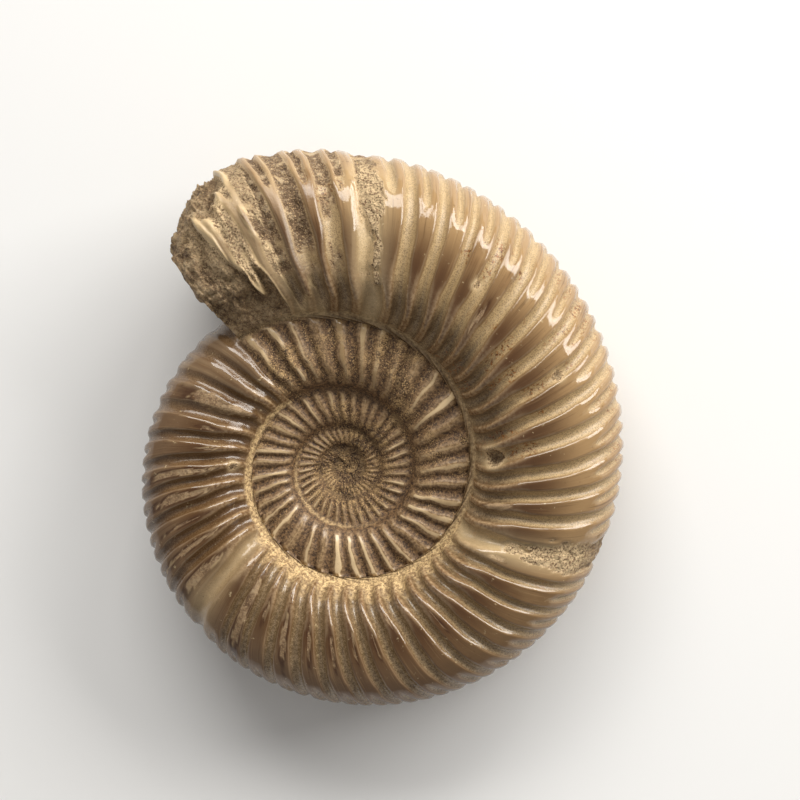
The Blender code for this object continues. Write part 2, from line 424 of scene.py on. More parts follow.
# %% Islands
ISLANDS = (
    # rib number, share of its middle, half length in share, half width in ribs
    (2.05, 0.42, 0.27, 0.30),
    (3.05, 0.42, 0.10, 0.09),
    (4.0, 0.36, 0.10, 0.08),
    (5.05, 0.55, 0.26, 0.13),
    (6.0, 0.56, 0.26, 0.15),
    (7.05, 0.58, 0.20, 0.06),
    (8.0, 0.58, 0.26, 0.10),
    (9.0, 0.60, 0.25, 0.13),
    (11.05, 0.52, 0.30, 0.20),
    (12.0, 0.40, 0.10, 0.09),
    (13.0, 0.52, 0.20, 0.11),
    (14.05, 0.50, 0.14, 0.07),
    (15.05, 0.48, 0.16, 0.08),
    (16.05, 0.45, 0.12, 0.06),
    (17.05, 0.48, 0.10, 0.05),
    (18.05, 0.30, 0.08, 0.06),
    (20.0, 0.42, 0.10, 0.04),
    (24.0, 0.36, 0.08, 0.08),
    (26.0, 0.22, 0.09, 0.14),
    (34.0, 0.40, 0.13, 0.09),
)
BARE_PATCHES = (
    (24.40, 0.88, 0.30, 0.40),
    (24.42, 0.68, 0.26, 0.24),
    (38.45, 0.74, 0.22, 0.22),
    (38.35, 0.40, 0.18, 0.12),
)
FAR_OUTSIDE = -9.0


def lenses(number, share, table):
    """1 minus the squared distances over the half sizes: 0 on a lens's rim, negative outside."""
    inside = np.full_like(number, FAR_OUTSIDE)
    for rib, middle, length, width in table:
        lens = 1.0 - ((number - rib) / width) ** 2 - ((share - middle) / length) ** 2
        inside = np.maximum(inside, lens)
    return inside


print("islands:", len(ISLANDS))

# %% Chips
CHIPS = (
    # angle in degrees; radius, size and depth in mm
    (366.0, 25.8, 1.3, 0.8),
    (384.0, 40.6, 0.8, 0.6),
    (413.0, 39.3, 0.6, 0.5),
    (178.0, 18.2, 0.6, 0.5),
    (374.0, 21.6, 0.9, 0.3),
)


def chips(angle, radius, side):
    """A bell of the distance from each chip's middle times its depth, on the upper side only."""
    turned = np.radians(angle)
    x, y = radius * np.cos(turned), radius * np.sin(turned)
    depth = np.zeros_like(x)
    for at, out, size, deep in CHIPS:
        chip = math.radians(at)
        away = np.hypot(x - out * MM * math.cos(chip), y - out * MM * math.sin(chip))
        depth += deep * MM * bell(away, size * MM) * (side > 0)
    return depth


print("chips:", len(CHIPS))

# %% [markdown]
# ## A smooth turn
#
# A turn is worked out whole, as arrays with a row for each angle and a column for each turning
# angle. The outermost turn's rows swing with the ribs, which keeps each groove's rim crisp. What
# is known of the points goes by one name, `at`, which later steps read and add to.

# %% Smooth turn
ROWS_STRAIGHTEN = 25.0
WAVER = 0.03
INNER_WAVER = 0.11
BLEMISHES = ("stone", "flake", "edge", "gone", "patch", "in_island", "covered")


def on_coil(angle, radius, height):
    """Points: radius times cosine, radius times sine, and the height."""
    turned = np.radians(angle)
    return np.stack((radius * np.cos(turned), radius * np.sin(turned), height), axis=-1)


def smooth_turn(row_angles, turnings, side, outermost):
    """A turn's points before any relief, and three noises on them."""
    rows = row_angles[:, None]
    from_seam = np.clip(1.0 - turnings / seam_turning(rows), 0.0, 1.0)
    to_end = np.minimum(rows - START, MOUTH - rows)
    follow = ramp(0.0, ROWS_STRAIGHTEN, to_end) if outermost else 0.0
    at = SimpleNamespace(side=side, **dict.fromkeys(BLEMISHES, 0.0))
    at.angle = rows + follow * carried(from_seam)
    at.radius, at.height, at.outward, at.upward = section(at.angle, turnings)
    at.seam = seam_radius(at.angle)
    at.share = (at.radius - at.seam) / (back_radius(at.angle) - at.seam)
    at.size = half_width(at.angle) / half_width(MOUTH)
    at.smooth = on_coil(at.angle, at.radius, side * at.height)
    at.number = rib_number(at.angle - swing(from_seam))
    at.number += WAVER * lumps(at.smooth, 3.0 * MM, 21) * ramp(0.0, 0.2, at.share)
    if not outermost:
        at.number += INNER_WAVER * lumps(at.smooth, 1.5 * MM, 22)
    at.fine = rough(at.smooth, 0.9 * MM, 61, 2)
    at.patchy = rough(at.smooth, 5.0 * MM, 71, 3)
    at.sand_width = 1.0 + 0.5 * rough(at.smooth, 1.6 * MM, 81, 2)
    return at


trial = smooth_turn(np.array([300.0]), np.array([[2.0, 1.5, 1.0, 0.5]]), 1.0, True)
print("shares:", trial.share.round(2))

# %% [markdown]
# ## Relief of the outermost turn
#
# The inner turns' rounded grooves pass over into the polished ones within three ribs. The tops
# have a low crown, higher on the old ribs.

# %% Outer relief
ROUNDED_UNTIL = START + 30.0
CROWN = 0.10 * MM
OLD_CROWN = 0.35 * MM
CROWN_GROWS = (18.0, 8.0)


def outer_relief(at):
    """Depth: the cut, plus the crown times the squared distance, plus the constrictions."""
    later = ramp(START, ROUNDED_UNTIL, at.angle)
    early = inner_grooves(at.number) * (1.0 - later)
    at.groove, cut = (early + part * later for part in outer_grooves(at.number, at.share))
    at.depth = GROOVE_DEPTH * cut * from_table(at.share, DEPTHS)
    crown = CROWN + OLD_CROWN * ramp(*CROWN_GROWS, at.number)
    crown = crown * (2.0 * from_crest(at.number)) ** 2 * ramp(0.1, 0.3, at.share)
    at.depth += crown * ramp(0.75, 0.55, at.share)
    at.depth += GROOVE_DEPTH * constriction(at.number) * ramp(0.0, 0.2, at.share)


outer_relief(trial)
print("depths in mm:", in_mm(trial.depth[0], 2))

# %% [markdown]
# ## Sand, islands and amber
#
# Sand is left in a thin line along the seam and in some old grooves. It has almost no height, so
# it is only a value for the material. There is less of it where the seam lies in shade, which
# partly paints that shade. Islands and patches are lenses with ragged rims. Amber
# shows where shell is thin: round islands and along the ribs' middles.

# %% Sand and amber
SAND_THINS_IN_SHADE = (310.0, 350.0)
SANDY_FROM = (205.0, 235.0)
SANDY_UNTIL = (345.0, 315.0)
SEAM_SAND = 0.02
GROOVE_SAND = 0.13
RING_AT = -0.5
RING_WIDTH = 0.6
AMBER_CORE = 0.22


def outer_sand(at):
    """Sediment: a narrow bell of the share, plus a wide one where the grooves are sandy."""
    # Less sand where the seam lies in shade, which partly paints that shade.
    thinned_in_shade = 1.0 - 0.6 * ramp(*SAND_THINS_IN_SHADE, at.angle)
    at.sediment = thinned_in_shade * bell(at.share, SEAM_SAND * at.sand_width)
    sandy = ramp(*SANDY_FROM, at.angle) * ramp(*SANDY_UNTIL, at.angle)
    sandy = sandy * (0.35 + 0.35 * at.groove + 0.5 * at.fine)
    at.sediment += sandy * bell(at.share, GROOVE_SAND * at.sand_width)


def worn_through(at):
    """Islands and patches: lenses plus noise. Amber: a bell round the islands, or a rib's core."""
    ragged = 0.9 * at.fine + 0.9 * rough(at.smooth, 2.4 * MM, 101, 2)
    island = lenses(at.number, at.share, ISLANDS) + ragged
    at.in_island = ramp(-0.1, 0.25, island)
    at.patch = ramp(-0.1, 0.2, lenses(at.number, at.share, BARE_PATCHES) + 1.3 * ragged)
    core = trough(from_crest(at.number), AMBER_CORE, 1.0) * ramp(0.75, 0.3, at.share)
    ring = bell(island - RING_AT, RING_WIDTH) * (1.0 - at.in_island)
    at.amber = np.maximum(0.8 * core, ring)


outer_sand(trial)
worn_through(trial)
print("how amber:", trial.amber.round(2))

# %% [markdown]
# ## The broken edge
#
# Before the mouth the shell broke off in two steps: its upper layers in flakes with a raised lip,
# then all of it. Noise on rib number and share makes the edges ragged along the ribs.

# %% Broken edge
ROCK_FROM = ((0.0, 464.0), (0.15, 471.0), (0.5, 478.0), (1.0, 479.0))
ROCK_RAGGED = 13.0
ALONG_RIBS = (1.3, 2.2)
FLAKES_BEFORE = 9.0
LIP_BEFORE = 1.3
EDGE = (-0.8, 0.8)


def broken_edge(at):
    """Flake and stone: steps of the degrees past each edge. Lip: a bell before it."""
    across, along = ALONG_RIBS
    ribbed = np.stack((at.number * across, at.share * along, 0.0 * at.number), axis=-1)
    past = at.angle - from_table(at.share, ROCK_FROM) + ROCK_RAGGED * rough(ribbed, 1.0, 91, 4)
    at.flake = ramp(*EDGE, past + FLAKES_BEFORE)
    at.stone = ramp(*EDGE, past)
    at.lip = at.flake * bell(past + LIP_BEFORE, 1.0)
    # The pale edges are partly pale broken shell and partly a painted highlight along the steps and
    # the lip.
    at.edge = hill(at.flake) + hill(at.stone) + at.lip
    gone = broken_grooves(at.number) * ramp(0.25, 0.6, at.groove)
    gone = gone * ramp(0.15, 0.3, at.share)
    at.gone = gone * ramp(-0.5, -0.1, at.patchy + 0.4 * at.fine)


broken_edge(trial)
print("how much stone shows:", trial.stone.round(2))

# %% [markdown]
# ## Rough stone
#
# Stone fills most of a groove's depth. The depths so far are scaled to the size of the coil, then
# folds are cut into the stone.

# %% Rough stone
ISLAND_DEPTH = 0.12 * MM
FLAKE_DEPTH = 0.6 * MM
PATCH_DEPTH = 0.35 * MM
ROCK_ROUGHNESS = 2.2 * MM
GONE_ROUGHNESS = 0.8 * MM
FOLD_SIZE = 5.0 * MM


def rough_stone(at):
    """Depth: scaled, plus the flakes' and patches' depth, plus the folds in the stone."""
    filled = np.maximum(np.maximum(at.stone, at.patch), 0.9 * at.flake)
    worn = ISLAND_DEPTH * at.in_island * (1.0 + 0.6 * at.fine)
    at.depth = at.size * (at.depth * (1.0 - 0.75 * filled) + worn)
    folds = ridges(at.smooth, FOLD_SIZE, 41)
    # On stone the groove value follows the folds' creases, where the material paints shade.
    at.groove = at.groove * (1.0 - at.stone) + at.stone * ramp(0.55, 0.1, folds)
    off_seam = ramp(0.0, 0.06, at.share)
    at.depth += FLAKE_DEPTH * (at.flake + at.stone - 0.6 * at.lip) * off_seam
    at.depth += at.stone * off_seam * ROCK_ROUGHNESS * (0.9 - 1.3 * folds)
    at.depth += at.gone * (1.0 - at.stone) * GONE_ROUGHNESS * (folds - 0.6)
    at.depth += PATCH_DEPTH * at.patch * (1.0 + at.fine)


rough_stone(trial)
print("scaled:", in_mm(trial.depth[0], 2))

# %% [markdown]
# ## Relief of the inner turns
#
# Their grooves fade towards both seams, where sand lies. Dust fills the hub, covers patches of
# the turns, and makes their grooves shallower.

# %% Inner relief
SEAM_FADE = 0.25
NEXT_FADE = 0.1
SANDIEST_AND_LIT_AT = 225.0
HUB_SEDIMENT = 3.4 * MM
HUB_DUST = 10.5 * MM
HUB_DUSTIEST_AT = 300.0
DUSTIEST_AT = 75.0


def inner_relief(at):
    """Depth: the inner grooves', fading at this turn's seam and at the next one's."""
    at.to_next = (seam_radius(at.angle + TURN) - at.radius) / at.seam
    at.groove = inner_grooves(at.number)
    at.depth = INNER_DEPTH * at.groove * ramp(0.0, SEAM_FADE, at.share)
    at.depth = at.depth * ramp(0.0, NEXT_FADE, at.to_next) * (0.85 + 0.5 * at.patchy)


def inner_sand(at):
    """Sediment: a bell at each seam, times noise that a cosine raises where the seams are lit and
    lowers where they lie in shade, which partly paints that shade.
    """
    # The cosine keeps sand off the seams that lie in shade, which partly paints that shade.
    lying = at.patchy + 0.6 * np.cos(np.radians(at.angle - SANDIEST_AND_LIT_AT))
    lying = ramp(-0.6, 0.6, lying) * ramp(5.0 * MM, 9.0 * MM, at.radius)
    own = bell(at.share, 0.03 * at.sand_width)
    following = bell(at.to_next, 0.028 * at.sand_width)
    at.sediment = lying * (0.5 * own + 0.9 * following * (1.0 + 0.6 * at.fine))


def inner_dust(at):
    """Covered: steps of the radius round the hub, plus patches of noise, cut off at 1."""
    hub = ramp(HUB_SEDIMENT, 0.6 * HUB_SEDIMENT, at.radius + 2.0 * MM * at.patchy)
    below = 0.3 + 0.7 * np.cos(np.radians(0.5 * (at.angle - HUB_DUSTIEST_AT))) ** 2
    near = ramp(HUB_DUST, 0.6 * HUB_DUST, at.radius + 3.0 * MM * at.patchy)
    dusting = at.patchy + 0.3 * np.cos(np.radians(at.angle - DUSTIEST_AT))
    covered = hub + 0.75 * below * near + 0.8 * ramp(-0.1, 0.7, dusting)
    at.covered = np.clip(covered, 0.0, 1.0)
    at.depth = at.size * (at.depth * (1.0 - 0.35 * at.covered))
    # The groove value is raised along the seam, which paints a dark line of shade there.
    at.groove = np.maximum(at.groove, 0.9 * bell(at.share, 0.07))


print("sediment and dust reach, in mm:", in_mm((HUB_SEDIMENT, HUB_DUST)))

# %% [markdown]
# ## Carving
#
# The rest is the same for all turns. Chips and grains are cut in, and towards the mouth the worn
# shell narrows. No depth is below 0, so the fossil stays inside its outline.

# %% Carving
POLISH = 0.06 * MM
GRAIN_HEIGHT = 0.10 * MM
CHIP_BARE = 0.3 * MM
CHIP_RIM = 0.4 * MM
WORN_FROM = 469.0
WEAR_POWER = 2.0
CORNER_DROP = 8.0 * MM
MOUTH_NARROWING = 0.16


def carve(at):
    """Radius and height: each less the depth times its part of the facing, less the wear."""
    at.chip = chips(at.angle, at.radius, at.side)
    grainy = np.clip(at.groove * 0.5 + at.covered + at.stone + at.chip / CHIP_BARE, 0.0, 1.0)
    grain = GRAIN_HEIGHT * at.fine * grainy * ramp(0.0, 0.05, at.share)
    depth = np.maximum(at.depth + POLISH + at.chip + grain, 0.0)
    wear = np.clip((at.angle - WORN_FROM) / (MOUTH - WORN_FROM), 0.0, 1.0) ** WEAR_POWER
    at.radius = at.radius - depth * at.outward - CORNER_DROP * wear * at.share**2
    at.height = (at.height - depth * at.upward) * (1.0 - MOUTH_NARROWING * wear)


carve(trial)
print("carved radius in mm:", in_mm(trial.radius[0]))

# %% [markdown]
# ## The skin of a turn
#
# The steps run in order, and the points come back with the values that the material reads.

# %% Skin of a turn
OUTER_STEPS = (outer_relief, outer_sand, worn_through, broken_edge, rough_stone)
INNER_STEPS = (inner_relief, inner_sand, inner_dust)
HUB_SHADE = (2.5 * MM, 0.6 * MM)


def skin(row_angles, turnings, side, outermost):
    """Points and material values of a turn. Stone and pale are sums of what shows them."""
    at = smooth_turn(row_angles, turnings, side, outermost)
    for step in OUTER_STEPS if outermost else INNER_STEPS:
        step(at)
    carve(at)
    bare = at.stone + 0.44 * at.in_island + at.patch + 0.8 * at.gone + 0.8 * at.covered
    # Broken edges add pale, partly as a painted highlight.
    broken = at.edge + 0.35 * at.flake + 0.4 * at.patch + 0.25 * at.gone
    rims = hill(np.clip(at.chip / CHIP_RIM, 0.0, 1.0)) + 0.5 * hill(at.in_island)
    return {
        "place": on_coil(at.angle, at.radius, side * at.height),
        "groove": np.clip(at.groove, 0.0, 1.0),
        "stone": np.clip(bare + at.chip / CHIP_BARE, 0.0, 1.0),
        "sediment": np.clip(at.sediment, 0.0, 1.0),
        "inner": 0.0 if outermost else 1.0,
        # On the inner turns this value is painted shade, which darkens the hub's middle.
        "amber": at.amber if outermost else ramp(*HUB_SHADE, at.radius),
        "pale": np.clip(pale_shell(at.number, at.share) + broken + rims, 0.0, 1.0),
        "rib": at.number,
        "share": at.share,
    }


print("steps:", len(OUTER_STEPS), "or", len(INNER_STEPS))

# %% [markdown]
# ## Stitching the turns together
#
# Each turn is its own grid. Where two meet, their edges have different numbers of points, so they
# are zipped: at each step along both, a triangle is added on whichever edge is behind. Sorting the
# steps does that at once. The seam's points belong to the outer turn alone, so nothing gapes.

# %% Points and faces
ATTRIBUTES = ("groove", "stone", "sediment", "inner", "amber", "pale")
FIELDS = ATTRIBUTES + ("rib", "share")
TIE = 1e-9
pools = {name: [] for name in ("place",) + FIELDS}
quads = []
triangles = []


def store(values):
    """Adds a grid's points to the pools and returns their numbers."""
    start = sum(len(block) for block in pools["rib"])
    shape = values["rib"].shape
    pools["place"].append(values["place"].reshape(-1, 3))
    for name in FIELDS:
        pools[name].append(np.broadcast_to(values[name], shape).reshape(-1))
    return np.arange(start, start + math.prod(shape)).reshape(shape)


def weave(grid):
    """Quads between all neighbours of a grid of point numbers."""
    corners = (grid[:-1, :-1], grid[:-1, 1:], grid[1:, 1:], grid[1:, :-1])
    quads.append(np.stack(corners, axis=-1).reshape(-1, 4))


def zip_edges(first, second):
    """Triangles between two edges, by sorting both edges' steps together."""
    first_steps = np.linspace(0.0, 1.0, len(first))[1:]
    second_steps = np.linspace(0.0, 1.0, len(second))[1:]
    order = np.argsort(np.concatenate((first_steps - TIE, second_steps)), kind="stable")
    on_first = order < len(first_steps)
    i = np.cumsum(on_first) - on_first
    j = np.cumsum(~on_first) - ~on_first
    next_first = first[np.minimum(i + 1, len(first) - 1)]
    next_second = second[np.minimum(j + 1, len(second) - 1)]
    ahead = np.where(on_first, next_first, next_second)
    triangles.append(np.stack((first[i], ahead, second[j]), axis=-1))


def fan(values, loop):
    """Triangles from one new point to every edge of a loop."""
    around = np.full(len(loop), store(values)[0])
    triangles.append(np.stack((around, loop, np.roll(loop, -1)), axis=-1))


print("every point carries", len(FIELDS), "values")

# %% [markdown]
# ## The outermost turn
#
# It goes from the upper seam over the back to the lower one. The rock gets more rows, and the
# underside fewer columns.

# %% Outer grid
ROWS_PER_RIB = 17
ROCK_AFTER = 41.0
ROCK_ROWS_PER_RIB = 27
UPPER_SPANS = 36
HALF_BACK_SPANS = 14
LOWER_SPANS = 20


def spread(first, last, spans):
    """Evenly spaced turning angles for every row."""
    steps = np.linspace(0.0, 1.0, spans + 1)
    return first[:, None] + (last - first)[:, None] * steps


def evenly(first, last, per_rib):
    """Rib numbers from first to last, so many to a rib."""
    return np.linspace(first, last, round((last - first) * per_rib) + 1)


ribbed = evenly(rib_number(START), ROCK_AFTER, ROWS_PER_RIB)
rocky = evenly(ROCK_AFTER, rib_number(MOUTH), ROCK_ROWS_PER_RIB)
rows = np.interp(np.concatenate((ribbed, rocky[1:])), RIB_NUMBERS, RIB_ANGLES)
seam, cover, back = seam_turning(rows), covered_turning(rows), np.zeros_like(rows)
upper = (spread(seam, cover, UPPER_SPANS)[:, :-1], spread(cover, back, HALF_BACK_SPANS))
lower = (spread(back, cover, HALF_BACK_SPANS)[:, 1:-1], spread(cover, seam, LOWER_SPANS))
upper_grid = store(skin(rows, np.hstack(upper), 1.0, True))
lower_grid = store(skin(rows, np.hstack(lower), -1.0, True))
outer = np.hstack((upper_grid, lower_grid))
outer[0, UPPER_SPANS] = outer[-1, 0]
outer[0, -1 - LOWER_SPANS] = outer[-1, -1]
weave(outer)
print("rows and columns:", outer.shape)

# %% [markdown]
# ## The inner turns and the hub
#
# They show only their flanks. Each is zipped to the seam and the first row of the turn outside
# it, and a fan closes the hub.

# %% Inner grids
INNER_TURNS = (
    # turns inside the outermost, rows, upper columns, lower columns
    (1, 560, 17, 9),
    (2, 420, 10, 5),
    (3, 300, 7, 3),
)
HUB_HEIGHT = 0.5 * MM
HUB_OFFSET = 0.45 * MM
HUB_ANGLE = START - 90.0


def inner_turn(inside, count, spans, side):
    """One flank of an inner turn, without the next turn's seam."""
    first = START - inside * TURN
    rows = np.linspace(first, first + TURN, count + 1)[:-1]
    turnings = spread(seam_turning(rows), covered_turning(rows), spans)[:, :-1]
    return store(skin(rows, turnings, side, False))


for side in (1.0, -1.0):
    flank = outer[:, : UPPER_SPANS + 1] if side > 0 else outer[:, ::-1][:, : LOWER_SPANS + 1]
    seam = flank[:, 0]
    next_row = flank[0]
    for inside, count, upper_spans, lower_spans in INNER_TURNS:
        grid = inner_turn(inside, count, upper_spans if side > 0 else lower_spans, side)
        weave(grid)
        zip_edges(grid[:, -1], seam)
        zip_edges(grid[-1], next_row)
        next_row = np.append(grid[0], seam[0])
        seam = np.append(grid[:, 0], seam[0])
    hub = {name: np.zeros(1) for name in FIELDS}
    hub["place"] = on_coil(HUB_ANGLE, HUB_OFFSET, side * HUB_HEIGHT)[None, :]
    hub["inner"] = hub["stone"] = np.ones(1)
    fan(hub, np.concatenate((seam, next_row[-2:0:-1])))
print("points so far:", sum(len(block) for block in pools["rib"]))

# %% [markdown]
# ## The broken mouth
#
# The hole that is left runs along the mouth and back over the turn inside. Rings that shrink
# towards its middle fill it, pushed forwards into a dome and roughened, like broken stone.

# %% The mouth
ROCK_RINGS = 34
ROCK_BULGE = 1.0
ROCK_LUMP = 6.0 * MM
ROCK_HEIGHT = 2.2 * MM

rim = np.concatenate((outer[-1], outer[0, UPPER_SPANS + 1 : -1 - LOWER_SPANS][::-1]))
rim_places = np.concatenate(pools["place"])[rim]
middle = rim_places.mean(axis=0)
rounding = (math.pi / 2 * np.arange(1, ROCK_RINGS) / ROCK_RINGS)[:, None]
rings = middle + (rim_places - middle) * np.cos(rounding)[..., None]
bumps = rough(rings, ROCK_LUMP, 51, 5) * ROCK_HEIGHT * ramp(0.0, 0.6, np.sin(rounding))
forward = np.radians(ROCK_BULGE) * np.sin(rounding) + bumps / np.linalg.norm(rings, axis=-1)
cos, sin = np.cos(forward), np.sin(forward)
x, y, z = np.moveaxis(rings, -1, 0)
rock = {name: np.zeros(rings.shape[:2]) for name in FIELDS}
rock["place"] = np.stack((x * cos - y * sin, x * sin + y * cos, z), axis=-1)
rock["stone"] = np.ones(rings.shape[:2])
# The dome's low parts get a high groove value, where the material paints shade.
rock["groove"] = ramp(0.5, -0.3, bumps / ROCK_HEIGHT)
domes = np.vstack((rim, store(rock)))
weave(np.hstack((domes, domes[:, :1])))
tip = {name: np.zeros(1) for name in FIELDS}
tip["place"] = rock["place"][-1].mean(axis=0)[None, :]
tip["stone"] = tip["groove"] = np.ones(1)
fan(tip, domes[-1])
print("points on the mouth's rim:", len(rim))

# %% [markdown]
# ## Laying the fossil down
#
# The fossil rests on its lowest ribs, which leans it by a few degrees, as the solid does. Points
# that would sink into the table are lifted to it, which gives those ribs small flats.

# %% Laying down
REST_TILT = 3.4
REST_TOWARD = 290.0
REST_LIFT = Vector((-5.79, -6.66, 13.88)) * MM

towards = Matrix.Rotation(math.radians(REST_TOWARD), 4, "Z")
lean = Matrix.Rotation(math.radians(REST_TILT), 4, towards @ Vector((0.0, 1.0, 0.0)))
laid = Matrix.Translation(REST_LIFT) @ lean
places = np.concatenate(pools["place"]) @ np.array(laid.to_3x3()).T + np.array(REST_LIFT)
places[:, 2] = np.maximum(places[:, 2], 0.0)
print("points on the flats:", np.count_nonzero(places[:, 2] == 0.0))

# %% [markdown]
# ## The mesh
#
# The values become attributes, and rib number and share a UV map. Facing every face outward at the
# end is simpler than minding the order of corners.

# %% The mesh
quad_faces = np.concatenate(quads)
triangle_faces = np.concatenate(triangles)
corner_points = np.concatenate((quad_faces.ravel(), triangle_faces.ravel()))
used, renumbered = np.unique(corner_points, return_inverse=True)
lengths = np.concatenate((np.full(len(quad_faces), 4), np.full(len(triangle_faces), 3)))
values = {name: np.concatenate(pools[name])[used] for name in FIELDS}

data = bpy.data.meshes.new("ammonite_shell")
data.vertices.add(len(used))
data.vertices.foreach_set("co", places[used].ravel())
data.loops.add(len(renumbered))
data.loops.foreach_set("vertex_index", renumbered.ravel())
data.polygons.add(len(lengths))
data.polygons.foreach_set("loop_start", np.cumsum(lengths) - lengths)
data.update(calc_edges=True)
for name in ATTRIBUTES:
    data.attributes.new(name, "FLOAT", "POINT").data.foreach_set("value", values[name])
along = np.stack((values["rib"], values["share"]), axis=-1)
data.uv_layers.new(name="ribs").uv.foreach_set("vector", along[renumbered.ravel()].ravel())

mesh = bmesh.new()
mesh.from_mesh(data)
bmesh.ops.recalc_face_normals(mesh, faces=mesh.faces[:])
open_edges = sum(not edge.is_manifold for edge in mesh.edges)
cubic_centimetres = mesh.calc_volume() / (10 * MM) ** 3
mesh.to_mesh(data)
mesh.free()
data.shade_smooth()
data.validate()
shell = added("ammonite_shell", data)
print(len(data.polygons), "faces,", open_edges, "open edges,", round(cubic_centimetres, 1), "cm3")

# %% [markdown]
# ## The polished surface
#
# One material covers everything, and the attributes steer it, so that colour and relief agree.


# %% Node helpers
material = bpy.data.materials.new("polished_fossil")
material.use_nodes = True
tree = material.node_tree
shader = tree.nodes["Principled BSDF"]
MOST_OF_A_NOISE = (0.35, 0.65)


def node(kind, inputs, output=0, **settings):
    """Adds a node, joins or sets its inputs, and returns an output."""
    made = tree.nodes.new("ShaderNode" + kind)
    for name, value in settings.items():
        setattr(made, name, value)
    for name, value in inputs.items():
        if isinstance(value, bpy.types.NodeSocket):
            tree.links.new(value, made.inputs[name])
        else:
            made.inputs[name].default_value = value
    return made.outputs[output]


def times(first, second):
    return node("Math", {0: first, 1: second}, operation="MULTIPLY")


def either(first, second):
    return node("Math", {0: first, 1: second}, operation="MAXIMUM")


def remap(value, low, high, to_low=0.0, to_high=1.0):
    """A value taken smoothly from one range to another."""
    limits = {"From Min": low, "From Max": high, "To Min": to_low, "To Max": to_high}
    return node("MapRange", {"Value": value, **limits}, interpolation_type="SMOOTHSTEP")


def built(part):
    print("nodes with", part, len(tree.nodes))


built("none added:")


# %% Colour helpers
def linear(percent):
    """A screen's red, green or blue, in percent, as the linear value that a shader takes."""
    value = percent / 100
    return value / 12.92 if value < 0.04 else ((value + 0.055) / 1.055) ** 2.4


def colour(*percents):
    return *map(linear, percents), 1.0


def mix(share, first, second):
    """The first colour at a share of 0 and the second at 1."""
    colours = {"Factor": share, "A": first, "B": second}
    return node("Mix", colours, "Result", data_type="RGBA")


def tinted(base, *steps):
    """A base colour that takes on each hue, up to its most, as its guide goes low to high."""
    for guide, low, high, most, hue in steps:
        base = mix(remap(guide, low, high, 0.0, most), base, hue)
    return base


def mottled(pattern, first, second):
    """Two colours in the patches of a noise."""
    return mix(remap(pattern, *MOST_OF_A_NOISE), first, second)


PIT = colour(20, 13, 7)
UMBER = colour(30, 20, 11)
TAN = colour(66, 54, 38)
print("the darkest colour:", [round(value, 3) for value in PIT])

# %% [markdown]
# ## Patterns
#
# Noise on object coordinates gives grains of stone. It is turned, so that no lattice shows. Noise
# on the rib map is stretched along the ribs, which gives growth streaks.


# %% Patterns
def noise(vector, scale, detail, stretch=(1.0, 1.0, 1.0), turn=(0.5, 0.8, 0.3)):
    """Noise in a vector's space, stretched and turned."""
    turned = node("Mapping", {"Vector": vector, "Scale": stretch, "Rotation": turn})
    return node("TexNoise", {"Vector": turned, "Scale": scale, "Detail": detail, "Roughness": 0.6})


place = node("TexCoord", {}, "Object")
ribs = node("UVMap", {}, uv_map="ribs")
rib, share = (node("SeparateXYZ", {"Vector": ribs}, axis) for axis in ("X", "Y"))
read = {name: node("Attribute", {}, "Fac", attribute_name=name) for name in ATTRIBUTES}
groove, stone, sediment, inner, amber, pale = read.values()
grains = noise(place, 4400.0, 2.0)
specks = noise(place, 2700.0, 3.0)
clumps = noise(place, 1900.0, 4.0)
dust = noise(place, 1100.0, 3.0)
drifts = noise(place, 520.0, 5.0)
crags = noise(place, 420.0, 8.0)
patches = noise(place, 90.0, 3.0)
streaks = noise(ribs, 4.0, 3.0, (4.0, 0.6, 1.0), (0.0, 0.0, 0.0))
built("patterns:")

# %% [markdown]
# ## Rib tops
#
# The shell is brown calcite, streaked along the ribs and lighter far out on the young ones. The
# old ribs are painted darker and the young ones lighter, partly their own tone and partly painted
# shade and light. Near the seam it is cream, where the polish has cut deeper. Thin shell shows the
# amber below.

# %% Rib tops
young = remap(rib, 16.0, 30.0)
outward = remap(share, 0.12, 0.42)
top = mottled(streaks, colour(34, 23, 12), colour(40, 29, 17))
young_top = mix(remap(share, 0.45, 0.8), colour(40, 29, 18), TAN)
old_rim = times(remap(rib, 22.0, 14.0), remap(share, 0.45, 0.75))
top = mix(old_rim, top, colour(44, 34, 24))
# Darker old tops and lighter young ones: partly the shell's tone, partly painted shade and light.
top = mix(times(young, 0.75), top, young_top)
top = mix(times(remap(patches, 0.5, 0.7), 0.4), top, colour(37, 24, 13))
top = tinted(top, (streaks, 0.54, 0.68, 0.5, UMBER), (streaks, 0.44, 0.32, 0.3, TAN))
near_seam = mottled(clumps, colour(68, 54, 38), colour(94, 81, 63))
top = mix(outward, near_seam, top)
top = mix(times(amber, 0.9), top, colour(24, 13, 5))
built("rib tops:")

# %% [markdown]
# ## Grooves
#
# No polish reached them. They are granular, brown between the oldest ribs, then sandy, and cream
# between the young ones, with clusters of pits.

# %% Grooves
in_groove = remap(groove, 0.05, 0.6)
old_floor = mottled(patches, colour(38, 28, 18), colour(47, 37, 26))
sandy_floor = mottled(clumps, colour(46, 38, 27), colour(60, 51, 39))
trench = mix(remap(rib, 8.5, 11.5), old_floor, sandy_floor)
trench = mix(times(young, outward), trench, colour(72, 62, 46))
darker = mix(0.5, trench, colour(28, 19, 10))
trench = mix(remap(grains, 0.48, 0.6), trench, darker)
lit_grains = times(remap(grains, 0.46, 0.36), remap(rib, 8.0, 22.0, 0.12, 0.5))
trench = mix(lit_grains, trench, colour(78, 67, 50))
pitted = times(remap(clumps, 0.52, 0.58), remap(patches, 0.52, 0.60))
pit_colour = mix(remap(grains, 0.45, 0.55), colour(30, 19, 10), colour(62, 42, 22))
trench = mix(times(pitted, young), trench, pit_colour)
built("grooves:")

